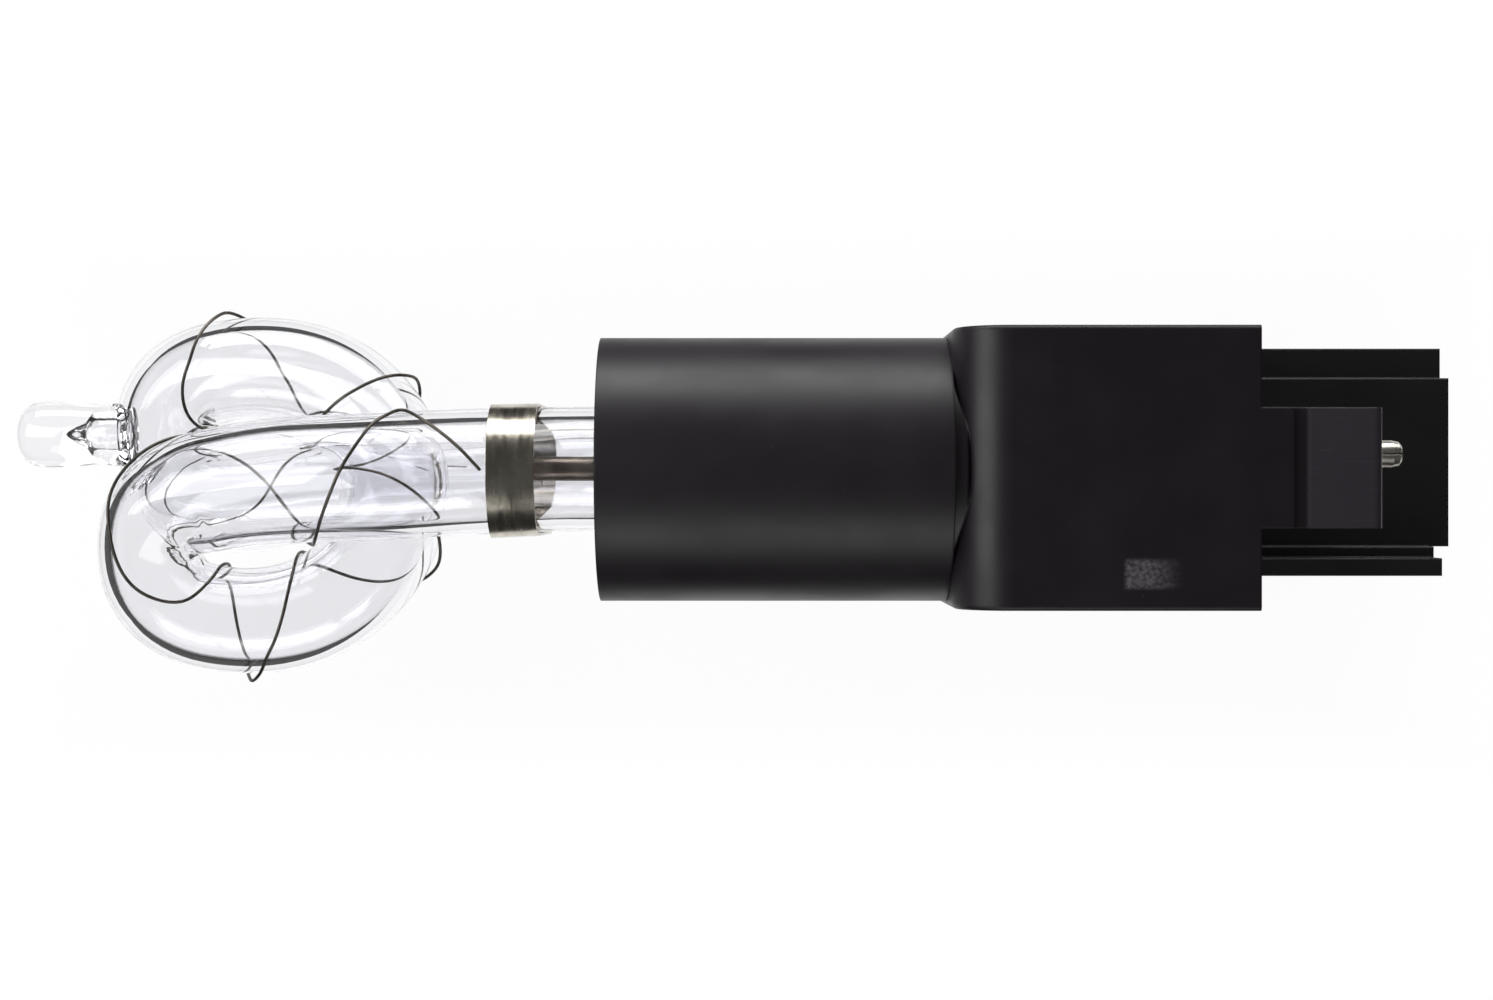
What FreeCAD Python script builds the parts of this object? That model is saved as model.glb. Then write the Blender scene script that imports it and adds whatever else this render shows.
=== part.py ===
import FreeCAD, Part
import math
import os
import Sketcher

# Plug-in xenon flash lamp: a coiled glass discharge tube on a black moulded plug base.
# Frame: origin on the barrel's axis at the shoulder where the barrel meets the block.
# +X runs towards the contact pins, -X towards the glass, +Z is the side with the latch tongue.

Vector = FreeCAD.Vector
doc = FreeCAD.newDocument("flash_lamp")
sheet = doc.addObject("Spreadsheet::Sheet", "sizes")

DRIVING_SIZES = {
    # black base
    "barrel_diameter": 21.0,
    "barrel_wall": 0.6,
    "barrel_length": 27.5,
    "block_side": 21.7,
    "block_length": 23.1,
    "block_wall": 1.2,
    "block_front_wall": 2.0,
    "block_edge_radius": 4.2,
    "block_corner_radius": 0.35,
    "spigot_length": 4.0,
    "spigot_wall": 1.2,
    "glue_gap": 0.05,
    # latch tongue on the block
    "tongue_width": 9.2,
    "tongue_reach": 9.4,
    "tongue_thickness": 1.9,
    "tongue_flush": 2.5,
    "tongue_groove_width": 1.1,
    "tongue_groove_depth": 0.45,
    "tongue_fall": 0.55,
    "tongue_nose_radius": 0.8,
    # connector insert
    "plug_depth": 3.6,
    "plug_clearance": 0.05,
    "floor_reach": 19.4,
    "floor_thickness": 2.2,
    "floor_face": 8.0,
    "floor_low": 6.3,
    "floor_high": 7.7,
    "upper_rail_width": 2.5,
    "upper_rail_reach": 18.9,
    "upper_rail_drop": 0.8,
    "ledge_width": 0.9,
    "ledge_rise": 1.0,
    "lower_rail_width": 1.45,
    "lower_rail_rise": 3.5,
    "lower_rail_reach": 17.9,
    # contact pins
    "pin_diameter": 2.13,
    "pin_wall": 0.35,
    "pin_reach": 12.0,
    "pin_root": 5.6,
    "pin_shank_diameter": 2.5,
    "pin_shank_rise": 0.35,
    "pin_pitch": 5.0,
    "pin_offset": 1.15,
    "pin_seam": 0.16,
    "pin_clearance": 0.03,
    # glass tube
    "leg_gap": 0.1,
    "leg_clearance": 0.15,
    "leg_end_depth": 10.5,
    "leg_settle": 0.4,
    "ring_diameter": 8.4,
    "hairpin_diameter": 8.0,
    "glass_wall": 1.0,
    "crossing_gap": 0.25,
    "ring_reach": 26.7,
    "ring_drop": 1.9,
    "ring_radius_x": 10.2,
    "ring_radius_y": 9.9,
    "hairpin_radius": 5.0,
    "front_hairpin_reach": 29.7,
    "front_hairpin_drop": 6.75,
    "rear_hairpin_reach": 31.2,
    "rear_hairpin_rise": 2.95,
    "coil_pitch": 15.6,
    "nib_diameter": 5.4,
    "nib_length": 8.6,
    "nib_neck_diameter": 4.2,
    # electrodes and their leads
    "electrode_diameter": 1.9,
    "electrode_length": 7.5,
    "electrode_reach": 6.1,
    "rod_diameter": 1.1,
    "ferrule_diameter": 2.0,
    "ferrule_length": 4.0,
    "ferrule_bore": 1.16,
    "lead_core_diameter": 1.0,
    "sleeve_diameter": 1.9,
    "sleeve_clearance": 0.02,
    "sleeve_end_gap": 0.1,
    "lead_run": 3.2,
    "lead_climb": 5.0,
    "lead_crest": 1.0,
    "lead_drop": 2.2,
    "lead_entry": 0.9,
    "seal_clearance": 0.03,
    "seal_taper": 3.4,
    "seal_neck": 2.0,
    "ferrule_gap": 0.3,
    # clamp band, trigger wire and cement
    "band_width": 3.5,
    "band_thickness": 0.2,
    "band_setback": 4.5,
    "band_clearance": 0.08,
    "wire_diameter": 0.26,
    "wire_clearance": 0.06,
    "trigger_lead_diameter": 0.5,
    "trigger_lead_run": 10.0,
    "trigger_lead_bend": 6.0,
    "cement_depth": 6.0,
    "cement_recess": 0.3,
    "cement_clearance": 0.03,
    "cement_leg_clearance": 0.06,
    # trigger transformer
    "core_diameter": 3.6,
    "core_length": 15.0,
    "bobbin_wall": 0.6,
    "bobbin_flange_diameter": 10.4,
    "bobbin_flange_thickness": 1.0,
    "transformer_gap": 2.7,
    "secondary_diameter": 8.6,
    "primary_diameter": 9.6,
    "primary_length": 4.0,
    "winding_clearance": 0.05,
}

for row, (alias, number) in enumerate(DRIVING_SIZES.items(), start=1):
    sheet.set("A%d" % row, alias)
    sheet.set("B%d" % row, str(number))
    sheet.setAlias("B%d" % row, alias)
doc.recompute()


class Size:
    """A length with both its number and the sheet formula that gives it."""

    def __init__(self, formula, number):
        self.formula = formula
        self.number = number

    def _join(self, other, sign, number):
        text = other.formula if isinstance(other, Size) else repr(float(other))
        return Size("(%s %s %s)" % (self.formula, sign, text), number)

    def __add__(self, other):
        return self._join(other, "+", self.number + plain(other))

    def __sub__(self, other):
        return self._join(other, "-", self.number - plain(other))

    def __mul__(self, factor):
        return self._join(factor, "*", self.number * plain(factor))

    def __truediv__(self, divisor):
        return self._join(divisor, "/", self.number / plain(divisor))

    def __neg__(self):
        return Size("(-1 * %s)" % self.formula, -self.number)


def plain(value):
    return value.number if isinstance(value, Size) else float(value)


def size(alias):
    return Size("sizes." + alias, float(sheet.get(alias)))


ZERO = Size("0", 0.0)


# Helpers for bodies, sketches and features

def new_body(label):
    body = doc.addObject("PartDesign::Body", label)
    body.Label = label
    return body


def place(thing, **offsets):
    """Bind the placement of a piece to sheet formulas."""
    for axis, amount in offsets.items():
        thing.setExpression("Placement.Base." + axis, amount.formula)


def origin_feature(body, role):
    return [item for item in body.Origin.OriginFeatures if item.Role == role][0]


def new_sketch(body, role, name, lift=None):
    """A sketch on one of the body's origin planes, lifted along its normal."""
    sketch = body.newObject("Sketcher::SketchObject", name)
    sketch.AttachmentSupport = [(origin_feature(body, role), "")]
    sketch.MapMode = "FlatFace"
    if lift is not None:
        sketch.setExpression("AttachmentOffset.Base.z", lift.formula)
    return sketch


def fix_point(sketch, geometry, point, across, along):
    for kind, amount in (("DistanceX", across), ("DistanceY", along)):
        index = sketch.addConstraint(
            Sketcher.Constraint(kind, -1, 1, geometry, point, amount.number))
        sketch.setExpression("Constraints[%d]" % index, amount.formula)


def draw_outline(sketch, corners):
    """A closed polygon with every corner tied to the sheet."""
    first = sketch.GeometryCount
    count = len(corners)
    points = [Vector(a.number, b.number, 0) for a, b in corners]
    for i in range(count):
        sketch.addGeometry(Part.LineSegment(points[i], points[(i + 1) % count]))
    for i in range(count):
        following = first + (i + 1) % count
        sketch.addConstraint(Sketcher.Constraint("Coincident", first + i, 2, following, 1))
    for i, (across, along) in enumerate(corners):
        fix_point(sketch, first + i, 1, across, along)


def draw_rectangle(sketch, left, right, low, high):
    draw_outline(sketch, [(left, low), (right, low), (right, high), (left, high)])


def draw_circle(sketch, across, along, radius):
    centre = Vector(across.number, along.number, 0)
    number = sketch.addGeometry(Part.Circle(centre, Vector(0, 0, 1), radius.number))
    fix_point(sketch, number, 3, across, along)
    index = sketch.addConstraint(Sketcher.Constraint("Radius", number, radius.number))
    sketch.setExpression("Constraints[%d]" % index, radius.formula)


def extrude(body, sketch, length, kind="Pad", reverse=False, both=False):
    feature = body.newObject("PartDesign::" + kind, sketch.Name + "_" + kind.lower())
    feature.Profile = sketch
    feature.setExpression("Length", length.formula)
    feature.Reversed = reverse
    feature.Midplane = both
    sketch.Visibility = False
    return feature


def turn(body, sketch, axis_role="X_Axis", kind="Revolution"):
    feature = body.newObject("PartDesign::" + kind, sketch.Name + "_turned")
    feature.Profile = sketch
    feature.ReferenceAxis = (origin_feature(body, axis_role), [""])
    feature.Angle = 360
    return feature


def turned_piece(label, profile):
    """A body turned about X from one closed profile of (along, radius) corners."""
    body = new_body(label)
    sketch = new_sketch(body, "XY_Plane", label + "_profile")
    draw_outline(sketch, profile)
    turn(body, sketch)
    return body


def edges_where(body, test):
    shape = body.Tip.Shape
    return ["Edge%d" % (i + 1) for i, edge in enumerate(shape.Edges) if test(edge)]


def dress_edges(body, kind, amount, test):
    doc.recompute()
    base = body.Tip
    names = edges_where(body, test)
    feature = body.newObject("PartDesign::" + kind, body.Name + "_" + kind.lower())
    feature.Base = (base, names)
    feature.setExpression("Radius" if kind == "Fillet" else "Size", amount.formula)
    return feature


# Places that several pieces share

HALF_BLOCK = size("block_side") / 2
BARREL_RADIUS = size("barrel_diameter") / 2
BARREL_BORE = BARREL_RADIUS - size("barrel_wall")
LEG_RADIUS = (BARREL_BORE - size("leg_gap") / 2 - size("leg_clearance")) / 2
LEG_OFFSET = LEG_RADIUS + size("leg_gap") / 2
PIN_RADIUS = size("pin_diameter") / 2
PLUG_HALF = HALF_BLOCK - size("block_wall") - size("plug_clearance")
PLUG_BACK = size("block_length") - size("plug_depth")
LEG_END = -size("leg_end_depth")
FERRULE_START = LEG_END + size("seal_taper") + size("seal_neck") + size("ferrule_gap")
PIN_TAIL = size("block_length") - size("pin_root")
TRANSFORMER_X = PIN_TAIL - size("transformer_gap") - size("primary_diameter") / 2
LEAD_HEIGHT = (size("bobbin_flange_diameter") / 2 + HALF_BLOCK - size("block_wall")) / 2


# Black base

def make_barrel():
    """Thin tube glued over the block's spigot."""
    body = new_body("barrel")
    ring = new_sketch(body, "YZ_Plane", "barrel_section", -size("barrel_length"))
    draw_circle(ring, ZERO, ZERO, BARREL_RADIUS)
    draw_circle(ring, ZERO, ZERO, BARREL_BORE)
    extrude(body, ring, size("barrel_length"))


def make_housing():
    """Moulded block, open towards the pins, with the barrel's spigot and the latch tongue."""
    body = new_body("housing")
    square = new_sketch(body, "YZ_Plane", "block_section")
    draw_rectangle(square, -HALF_BLOCK, HALF_BLOCK, -HALF_BLOCK, HALF_BLOCK)
    extrude(body, square, size("block_length"))

    def is_shoulder_edge(edge):
        centre = edge.CenterOfMass
        return abs(centre.x) < 0.01 and abs(abs(centre.z) - HALF_BLOCK.number) < 0.01

    def is_long_edge(edge):
        box = edge.BoundBox
        return box.XLength > 5 and box.YLength < 0.01 and box.ZLength < 0.01

    dress_edges(body, "Fillet", size("block_edge_radius"), is_shoulder_edge)
    dress_edges(body, "Fillet", size("block_corner_radius"), is_long_edge)

    cavity = new_sketch(body, "YZ_Plane", "cavity_section", size("block_front_wall"))
    inner = HALF_BLOCK - size("block_wall")
    draw_rectangle(cavity, -inner, inner, -inner, inner)
    extrude(body, cavity, size("block_length"), "Pocket", reverse=True)

    spigot = new_sketch(body, "YZ_Plane", "spigot_section", -size("spigot_length"))
    draw_circle(spigot, ZERO, ZERO, BARREL_BORE - size("glue_gap"))
    extrude(body, spigot, size("spigot_length") + size("block_front_wall") / 2)
    mouth = new_sketch(body, "YZ_Plane", "spigot_bore", -size("spigot_length"))
    draw_circle(mouth, ZERO, ZERO, BARREL_BORE - size("glue_gap") - size("spigot_wall"))
    extrude(body, mouth, size("spigot_length") + size("block_front_wall"), "Pocket", reverse=True)

    tongue = new_sketch(body, "XZ_Plane", "tongue_outline")
    root = size("block_length") - size("block_wall")
    flush_end = size("block_length") + size("tongue_flush")
    groove_end = flush_end + size("tongue_groove_width")
    groove_level = HALF_BLOCK - size("tongue_groove_depth")
    tip = size("block_length") + size("tongue_reach")
    underside = HALF_BLOCK - size("tongue_thickness")
    draw_outline(tongue, [
        (root, underside), (tip, underside),
        (tip, HALF_BLOCK - size("tongue_fall")),
        (groove_end, HALF_BLOCK - size("tongue_groove_depth") / 2),
        (groove_end, groove_level), (flush_end, groove_level),
        (flush_end, HALF_BLOCK), (root, HALF_BLOCK)])
    extrude(body, tongue, size("tongue_width"), both=True)

    def is_nose_edge(edge):
        centre = edge.CenterOfMass
        level = HALF_BLOCK.number - size("tongue_fall").number
        return abs(centre.x - tip.number) < 0.01 and abs(centre.z - level) < 0.01

    dress_edges(body, "Fillet", size("tongue_nose_radius"), is_nose_edge)

    notch = new_sketch(body, "XZ_Plane", "tongue_clearance")
    draw_rectangle(notch, PLUG_BACK, size("block_length"), underside - size("block_wall"),
                   PLUG_HALF + size("plug_clearance"))
    extrude(body, notch, size("tongue_width") + size("block_wall"), "Pocket", both=True)


def make_connector():
    """Insert that closes the block, with the stepped channel that guides the mating plug."""
    body = new_body("connector_insert")
    plug = new_sketch(body, "YZ_Plane", "plug_section", PLUG_BACK)
    draw_rectangle(plug, -PLUG_HALF, PLUG_HALF, -PLUG_HALF, PLUG_HALF)
    extrude(body, plug, size("plug_depth"))

    face = size("block_length")
    floor_bottom = -(size("floor_face") + size("floor_thickness"))
    floor_top = -size("floor_face")
    low = -size("floor_low")
    ledge_low = low - size("ledge_width")
    rail_low = ledge_low - size("lower_rail_width")
    high = size("floor_high")
    strips = (
        ("floor", low, high, floor_top, size("floor_reach")),
        ("upper_rail", high, high + size("upper_rail_width"),
         floor_top - size("upper_rail_drop"), size("upper_rail_reach")),
        ("ledge", ledge_low, low, floor_top + size("ledge_rise"), size("lower_rail_reach")),
        ("lower_rail", rail_low, ledge_low, floor_top + size("lower_rail_rise"),
         size("lower_rail_reach")))
    for name, left, right, top, reach in strips:
        strip = new_sketch(body, "YZ_Plane", name, face)
        draw_rectangle(strip, left, right, floor_bottom, top)
        extrude(body, strip, reach)

    holes = new_sketch(body, "YZ_Plane", "pin_holes", PLUG_BACK)
    for row in (-1, 0, 1):
        draw_circle(holes, size("pin_offset"), size("pin_pitch") * row,
                    size("pin_shank_diameter") / 2 + size("pin_clearance"))
    extrude(body, holes, size("plug_depth"), "Pocket", reverse=True)


def make_pin(label, row):
    """Rolled tinned pin, hollow, with its seam towards the tongue, a rounded nose and a wider
    shank that the insert holds."""
    tip = size("block_length") + size("pin_reach")
    tail = PIN_TAIL
    shank = size("pin_shank_diameter") / 2
    step = size("block_length") + size("pin_shank_rise")
    bore = PIN_RADIUS - size("pin_wall")
    nose = size("pin_wall")
    body = turned_piece(label, [
        (tail, bore), (tail, shank), (step, shank), (step, PIN_RADIUS),
        (tip - nose * 2, PIN_RADIUS),
        (tip - nose * 0.6, PIN_RADIUS - nose * 0.3), (tip, PIN_RADIUS - nose),
        (tip, bore - nose * 0.4), (tip - nose * 2, bore)])
    seam = new_sketch(body, "XY_Plane", label + "_seam")
    half = size("pin_seam") / 2
    draw_rectangle(seam, tail - half, tip + half, -half, half)
    extrude(body, seam, size("pin_shank_diameter"), "Pocket", reverse=True)
    place(body, y=size("pin_offset"), z=size("pin_pitch") * row)


# Glass tube

def sheet_number(alias):
    return size(alias).number


def smooth_step(t):
    return t * t * (3 - 2 * t)


def half_route(side):
    """Stations (x, y, z, outer radius) of one half of the tube, from its sealed end to the
    coil's far right. side is +1 for the front leg, which turns down, and -1 for the rear."""
    leg = LEG_RADIUS.number
    ring = sheet_number("ring_diameter") / 2
    bend = sheet_number("hairpin_diameter") / 2
    spread = LEG_OFFSET.number
    height = leg + ring + sheet_number("crossing_gap")
    pitch = sheet_number("coil_pitch") / 2
    mouth = -sheet_number("barrel_length")
    end = LEG_END.number
    ring_x = mouth - sheet_number("ring_reach")
    ring_y = -sheet_number("ring_drop")
    wide = sheet_number("ring_radius_x")
    tall = sheet_number("ring_radius_y")
    right = ring_x + wide
    if side > 0:
        bend_x = mouth - sheet_number("front_hairpin_reach")
        bend_y = -sheet_number("front_hairpin_drop")
    else:
        bend_x = mouth - sheet_number("rear_hairpin_reach")
        bend_y = sheet_number("rear_hairpin_rise")
    radius = sheet_number("hairpin_radius")
    entry_y = bend_y + side * radius

    stations = [(end + (mouth - end) * share, 0.0, side * spread, leg)
                for share in (0.0, 0.3, 0.6, 0.8, 0.92, 1.0, 1.06)]
    for share in (0.38, 0.67, 1.0):
        sag = entry_y * 0.37 * share ** 1.6
        lift = spread + (height - spread) * smooth_step(share)
        stations.append((mouth + (right - mouth) * share, sag, side * lift, leg))
    settled = height - sheet_number("leg_settle")
    stations.append((right + (bend_x - right) * 0.5, entry_y * 0.52, side * settled, leg))
    for turn_step in range(5):
        angle = math.radians(90 + 45 * turn_step) * side
        swell = (0.85, 0.45, 0.0, 0.05, 0.15)[turn_step]
        level = pitch - pitch * 0.135 * turn_step
        stations.append((bend_x + radius * math.cos(angle), bend_y + radius * math.sin(angle),
                         side * level, bend + swell * (leg - bend)))
    for degrees in (70, 45, 22):
        angle = -side * math.radians(degrees)
        level = pitch * 0.35 * degrees / 70
        stations.append((ring_x + wide * math.cos(angle), ring_y + tall * math.sin(angle),
                         side * level, ring))
    return stations


def glass_route():
    """The whole centre line as a smooth curve, with the radius at any of its parameters."""
    front = half_route(1)
    rear = half_route(-1)
    ring_x = -sheet_number("barrel_length") - sheet_number("ring_reach")
    far_right = (ring_x + sheet_number("ring_radius_x"), -sheet_number("ring_drop"), 0.0,
                 sheet_number("ring_diameter") / 2)
    stations = front + [far_right] + rear[::-1]
    points = [Vector(*station[:3]) for station in stations]
    curve = Part.BSplineCurve()
    curve.interpolate(Points=points, InitialTangent=Vector(-1, 0, 0),
                      FinalTangent=Vector(1, 0, 0))
    knots = [curve.parameter(point) for point in points]
    radii = [station[3] for station in stations]

    def radius_at(parameter):
        for i in range(len(knots) - 1):
            if parameter <= knots[i + 1]:
                share = (parameter - knots[i]) / (knots[i + 1] - knots[i])
                share = smooth_step(min(max(share, 0.0), 1.0))
                return radii[i] + (radii[i + 1] - radii[i]) * share
        return radii[-1]

    return curve, radius_at


SECTIONS_ALONG_TUBE = 48


def tube_through(curve, radius_at, inset):
    """One solid lofted through round sections set square to the centre line."""
    first, last = curve.FirstParameter, curve.LastParameter
    rings = []
    for i in range(SECTIONS_ALONG_TUBE + 1):
        parameter = first + (last - first) * i / SECTIONS_ALONG_TUBE
        direction = curve.tangent(parameter)[0]
        circle = Part.Circle(curve.value(parameter), direction, radius_at(parameter) - inset)
        rings.append(Part.Wire([circle.toShape()]))
    return Part.makeLoft(rings, True, False)


def revolve_profile(corners, centre):
    """A solid turned about the line through centre along X from (x, radius) corners."""
    points = [Vector(x, centre.y + r, centre.z) for x, r in corners]
    face = Part.Face(Part.makePolygon(points + [points[0]]))
    return face.revolve(centre, Vector(1, 0, 0), 360)


def leg_seal(side):
    """The drawn-down end of a leg, sealed round its electrode rod."""
    leg = LEG_RADIUS.number
    wall = sheet_number("glass_wall")
    rod = sheet_number("rod_diameter") / 2 + sheet_number("seal_clearance")
    end = LEG_END.number
    neck = rod + wall
    taper = sheet_number("seal_taper")
    tail = end + taper + sheet_number("seal_neck")
    profile = [(end, leg), (end + taper * 0.5, leg * 0.86), (end + taper * 0.9, leg * 0.5),
               (end + taper, neck), (tail, neck), (tail, rod),
               (end + taper - wall, rod), (end + taper * 0.5 - wall * 0.5, leg * 0.86 - wall),
               (end, leg - wall)]
    return revolve_profile(profile, Vector(0, 0, side * LEG_OFFSET.number))


def exhaust_nib():
    """Solid rounded stub left where the tube was pumped and tipped off."""
    x = (-sheet_number("barrel_length") - sheet_number("rear_hairpin_reach")
         - sheet_number("hairpin_radius"))
    rise = sheet_number("rear_hairpin_rise")
    level = -sheet_number("coil_pitch") / 2 * 0.73
    outer = sheet_number("nib_diameter") / 2
    neck = sheet_number("nib_neck_diameter") / 2
    start = x - sheet_number("hairpin_diameter") / 2 + sheet_number("glass_wall") * 0.5
    length = sheet_number("nib_length")
    shape = ((0.0, 0.0), (0.0, outer * 0.95), (0.16, neck * 1.1), (0.26, neck),
             (0.37, outer * 0.93), (0.49, outer), (0.85, outer * 0.93), (0.96, outer * 0.72),
             (1.0, outer * 0.35), (1.0, 0.0))
    profile = [(start - length * share, radius) for share, radius in shape]
    return revolve_profile(profile, Vector(0, rise, level))


def make_glass():
    curve, radius_at = glass_route()
    outer = tube_through(curve, radius_at, 0.0)
    inner = tube_through(curve, radius_at, sheet_number("glass_wall"))
    tube = outer.fuse(exhaust_nib()).cut(inner)
    tube = tube.fuse([leg_seal(1), leg_seal(-1)])
    piece = doc.addObject("Part::Feature", "glass_tube")
    piece.Label = "glass_tube"
    piece.Shape = tube.Solids[0] if len(tube.Solids) == 1 else tube


# Electrodes, ferrules and leads

def make_electrode(label, side):
    """Tungsten rod with its sintered head inside the leg."""
    tip = -size("barrel_length") - size("electrode_reach")
    head = size("electrode_diameter") / 2
    rod = size("rod_diameter") / 2
    shoulder = tip + size("electrode_length")
    tail = FERRULE_START + size("ferrule_length") / 2 - size("seal_clearance")
    body = turned_piece(label, [
        (tip, ZERO), (tip, head * 0.6), (tip + head * 0.4, head), (shoulder, head),
        (shoulder, rod), (tail, rod), (tail, ZERO)])
    place(body, z=LEG_OFFSET * side)


def make_ferrule(label, side):
    """Crimped sleeve that joins the rod to its lead."""
    half = size("ferrule_length") / 2
    middle = FERRULE_START + half
    outer = size("ferrule_diameter") / 2
    bore = size("ferrule_bore") / 2
    crimp = outer - size("seal_clearance") * 4
    body = turned_piece(label, [
        (middle - half, bore), (middle - half, outer), (middle - half * 0.4, outer),
        (middle - half * 0.2, crimp), (middle + half * 0.2, crimp), (middle + half * 0.4, outer),
        (middle + half, outer), (middle + half, bore)])
    place(body, z=LEG_OFFSET * side)


def rounded_path(points):
    """Straight runs joined by tangent arcs, each as large as its runs allow."""
    edges = []
    start = points[0]
    for before, corner, after in zip(points, points[1:], points[2:]):
        to_before = (before - corner).normalize()
        to_after = (after - corner).normalize()
        half_turn = (math.pi - to_before.getAngle(to_after)) / 2
        reach = 0.45 * min((before - corner).Length, (after - corner).Length)
        radius = reach / math.tan(half_turn)
        entry = corner + to_before * reach
        leave = corner + to_after * reach
        inward = (to_before + to_after).normalize()
        middle = corner + inward * (radius / math.cos(half_turn) - radius)
        edges.append(Part.LineSegment(start, entry).toShape())
        edges.append(Part.Arc(entry, middle, leave).toShape())
        start = leave
    edges.append(Part.LineSegment(start, points[-1]).toShape())
    return Part.Wire(edges)


def swept(path, outer, inner=0.0):
    """A round rod or tube swept along a path."""
    start = path.Edges[0].firstVertex().Point
    direction = path.Edges[0].tangentAt(path.Edges[0].FirstParameter)

    def pipe(radius):
        ring = Part.Wire([Part.Circle(start, direction, radius).toShape()])
        return path.makePipeShell([ring], True, True)

    return pipe(outer).cut(pipe(inner)) if inner else pipe(outer)


def lead_points(side):
    """Route of a main lead from its ferrule round the transformer to its pin."""
    spread = LEG_OFFSET.number * side
    height = LEAD_HEIGHT.number * side
    start = (FERRULE_START + size("ferrule_length") / 2 + size("seal_clearance")).number
    pin_y = sheet_number("pin_offset")
    pin_z = sheet_number("pin_pitch") * side
    tail = PIN_TAIL.number
    middle = TRANSFORMER_X.number
    return [Vector(start, 0, spread), Vector(start + sheet_number("lead_run"), 0, spread),
            Vector(middle - sheet_number("lead_climb"), pin_y / 2, height),
            Vector(middle + sheet_number("lead_crest"), pin_y, height),
            Vector(tail - sheet_number("lead_drop"), pin_y, pin_z),
            Vector(tail + sheet_number("lead_entry"), pin_y, pin_z)]


def make_lead(label, side):
    """Copper core and its silicone sleeve, as two pieces."""
    core = sheet_number("lead_core_diameter") / 2
    path = rounded_path(lead_points(side))
    piece = doc.addObject("Part::Feature", label)
    piece.Label = label
    piece.Shape = swept(path, core)
    gap = size("sleeve_end_gap")
    near = (FERRULE_START + size("ferrule_length") + gap).number
    far = (PIN_TAIL - gap).number
    sleeve = doc.addObject("Part::Feature", label.replace("lead", "sleeve"))
    sleeve.Label = label.replace("lead", "sleeve")
    sheath = swept(path, sheet_number("sleeve_diameter") / 2,
                   core + sheet_number("sleeve_clearance"))
    side_length = sheet_number("block_side")
    span = Part.makeBox(far - near, side_length, side_length,
                        Vector(near, -side_length / 2, -side_length / 2))
    sleeve.Shape = sheath.common(span)


# Clamp band, trigger wire, trigger lead and cement

def leg_at(x, side):
    """Centre of a leg where it passes x, and its slope there."""
    curve, _ = glass_route()
    first, last = curve.FirstParameter, curve.LastParameter
    low, high = (first, first + (last - first) * 0.2)
    if side < 0:
        low, high = (last, last - (last - first) * 0.2)
    for _ in range(40):
        middle = (low + high) / 2
        if curve.value(middle).x > x:
            low = middle
        else:
            high = middle
    direction = curve.tangent(low)[0]
    return curve.value(low), abs(direction.z / direction.x)


def stadium(x, middle_y, half_width, top):
    """Two half circles joined by straight sides, in the plane square to X."""
    left = middle_y - half_width
    right = middle_y + half_width
    return Part.Wire([
        Part.Arc(Vector(x, right, top), Vector(x, middle_y, top + half_width),
                 Vector(x, left, top)).toShape(),
        Part.LineSegment(Vector(x, left, top), Vector(x, left, -top)).toShape(),
        Part.Arc(Vector(x, left, -top), Vector(x, middle_y, -top - half_width),
                 Vector(x, right, -top)).toShape(),
        Part.LineSegment(Vector(x, right, -top), Vector(x, right, top)).toShape()])


def band_ring(x, grow):
    """Section of the band's inside at x, grown outwards by grow."""
    front, slope = leg_at(x, 1)
    rear, _ = leg_at(x, -1)
    leg = LEG_RADIUS.number
    stretch = leg * (math.sqrt(1 + slope * slope) - 1)
    half = leg + abs(front.y - rear.y) / 2 + sheet_number("band_clearance")
    return stadium(x, (front.y + rear.y) / 2, half + grow, front.z + stretch)


def make_band():
    """Nickel strip bent round both legs."""
    near = -sheet_number("barrel_length") - sheet_number("band_setback")
    far = near - sheet_number("band_width")
    middle = (near + far) / 2

    def sleeve(grow):
        return Part.makeLoft([band_ring(x, grow) for x in (near, middle, far)], True, True)

    piece = doc.addObject("Part::Feature", "clamp_band")
    piece.Label = "clamp_band"
    piece.Shape = sleeve(sheet_number("band_thickness")).cut(sleeve(0.0))


def wire_places():
    """Where the trigger wire touches the tube: the share of the centre line between the two
    places where it leaves the barrel, and the angle round the tube, 0 facing the front and 90
    on the coil's outer side."""
    return [(0.079, 0), (0.106, 40), (0.125, 80), (0.155, 30), (0.178, -40), (0.202, -92),
            (0.230, -180), (0.262, -262), (0.306, -330), (0.339, -400), (0.365, -450),
            (0.381, -540), (0.397, -625), (0.425, -700), (0.447, -810), (0.487, -900),
            (0.525, -985), (0.563, -1080), (0.600, -1170), (0.629, -1260), (0.653, -1345),
            (0.671, -1420), (0.694, -1530), (0.738, -1620), (0.782, -1710), (0.832, -1800),
            (0.882, -1865), (0.933, -1815)]


def wire_route(curve, radius_at):
    places = wire_places()
    mouth = -sheet_number("barrel_length")
    first = curve.parameter(Vector(mouth, 0, LEG_OFFSET.number))
    last = curve.parameter(Vector(mouth, 0, -LEG_OFFSET.number))
    reach = sheet_number("wire_diameter") / 2 + sheet_number("wire_clearance")
    points = []
    for (share, angle), (next_share, next_angle) in zip(places, places[1:]):
        steps = max(2, int(abs(next_angle - angle) / 15))
        for step in range(steps):
            part = step / steps
            parameter = first + (last - first) * (share + (next_share - share) * part)
            degrees = angle + (next_angle - angle) * part
            along = curve.tangent(parameter)[0]
            side = along.cross(Vector(0, 0, 1)).normalize()
            front = side.cross(along)
            radius = radius_at(parameter) + reach
            points.append(curve.value(parameter)
                          + front * (radius * math.cos(math.radians(degrees)))
                          + side * (radius * math.sin(math.radians(degrees))))
    return points


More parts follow.
